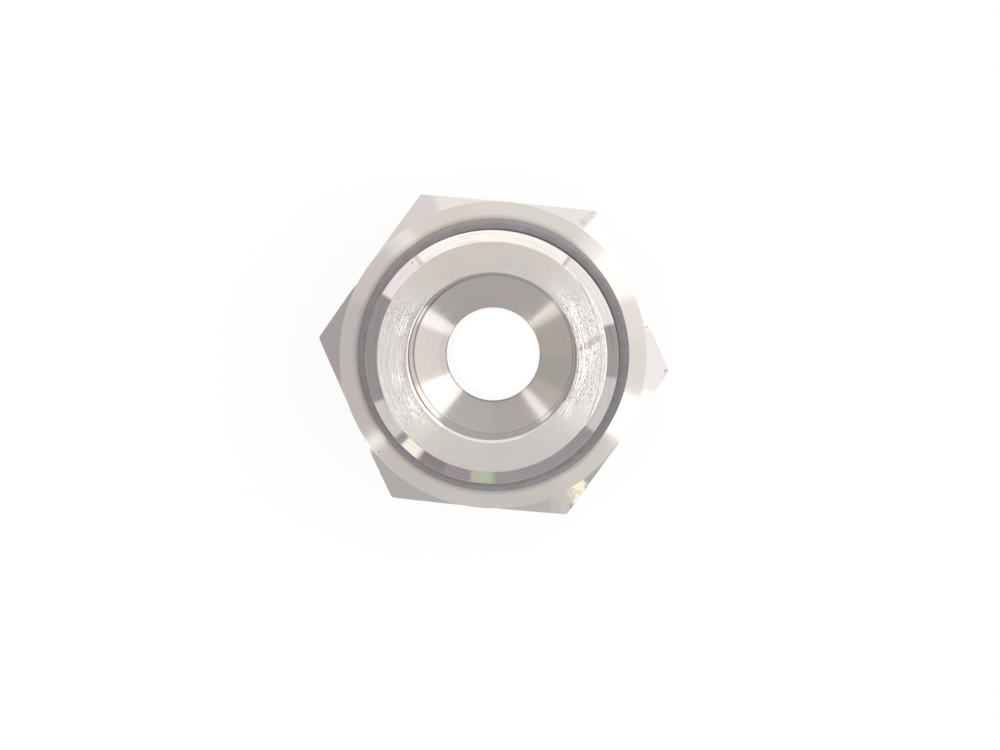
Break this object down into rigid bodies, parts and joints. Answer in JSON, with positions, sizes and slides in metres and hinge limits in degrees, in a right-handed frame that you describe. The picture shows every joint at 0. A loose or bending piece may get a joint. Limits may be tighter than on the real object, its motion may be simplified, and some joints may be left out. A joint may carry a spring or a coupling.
{
  "type": "hydraulic fitting",
  "caption": "Straight hydraulic stud fitting: hexagon body, collar with a captive seal ring, counterbored parallel-thread stud and a coned tube end, bored through.",
  "frame": {"origin": "on the fitting's axis, in the plane of the tube end's face, which the part stands on", "axes": "+Z along the axis towards the stud's tip, +X through a corner of the hexagon"},
  "size_m": [0.0312, 0.027, 0.045],
  "materials": {
    "plated_steel": "turned steel with a thin bright plating, fine lathe marks on the faces",
    "seal_rubber": "matt moulded elastomer, dark grey"
  },
  "bodies": {
    "root": {"fitting_body": "plated_steel", "seal_ring": "seal_rubber"}
  },
  "joints": []
}
